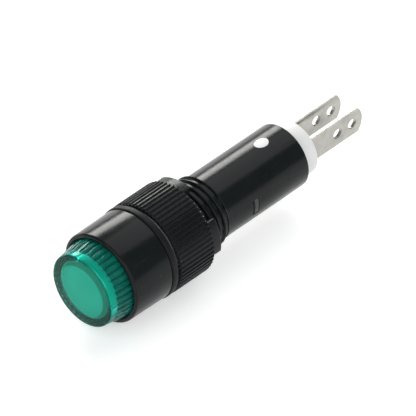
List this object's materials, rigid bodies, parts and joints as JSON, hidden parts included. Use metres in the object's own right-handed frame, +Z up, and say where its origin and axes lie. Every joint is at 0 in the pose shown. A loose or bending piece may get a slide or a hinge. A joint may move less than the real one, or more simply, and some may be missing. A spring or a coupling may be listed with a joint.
{
  "type": "panel pilot light",
  "caption": "Round panel indicator lamp with a projecting green lens, black threaded housing, ribbed ring nut and flat solder tabs.",
  "frame": {"origin": "on the axis, at the rear face of the head, where the panel gasket seats", "axes": "+Y along the axis from the lens to the solder tabs, +Z up through the white polarity dot, +X to the side of the positive tab"},
  "size_m": [0.0134, 0.0501, 0.0134],
  "materials": {
    "black_housing": "glossy moulded black polyamide",
    "green_lens": "polished transparent green",
    "seal_rubber": "smooth black rubber",
    "diffuser_white": "translucent milk white",
    "gasket_rubber": "smooth black rubber",
    "washer_steel": "stamped steel",
    "black_nut": "satin moulded black plastic",
    "dot_paint": "white paint",
    "carrier_plastic": "matt black plastic",
    "led_resin": "clear green resin",
    "tinned_wire": "bright tinned wire",
    "sleeve_plastic": "soft insulating sleeve",
    "board_laminate": "green circuit laminate",
    "resistor_coating": "tan lacquer",
    "diode_resin": "black resin",
    "solder": "bright solder",
    "white_base": "satin moulded white plastic",
    "tinned_tab": "tin-plated brass sheet"
  },
  "bodies": {
    "body": {"housing": "black_housing", "lens": "green_lens", "lens_seal": "seal_rubber", "diffuser": "diffuser_white", "gasket": "gasket_rubber", "polarity_dot": "dot_paint", "carrier": "carrier_plastic", "led_capsule": "led_resin", "led_anode_wire": "tinned_wire", "led_cathode_wire": "tinned_wire", "wire_sleeve": "sleeve_plastic", "circuit_board": "board_laminate", "resistor_body": "resistor_coating", "resistor_wires": "tinned_wire", "protection_diode_body": "diode_resin", "protection_diode_wires": "tinned_wire", "solder_joints": "solder", "terminal_base": "white_base", "tab_positive": "tinned_tab", "tab_negative": "tinned_tab"},
    "washer": {"lock_washer": "washer_steel"},
    "nut": {"ring_nut": "black_nut"}
  },
  "joints": [
    {"name": "washer_travel", "type": "slide", "parent": "body", "child": "washer", "axis": [0, 1, 0], "range_m": [0, 0.01]},
    {"name": "nut_turn", "type": "hinge", "parent": "washer", "child": "nut", "pos_m": [0, 0.0045, 0], "axis": [0, 1, 0], "range_deg": [0, 3600]}
  ],
  "couplings": [
    {"joint": "nut_turn", "follows": "washer_travel", "rad_per_m": 6283.2}
  ]
}
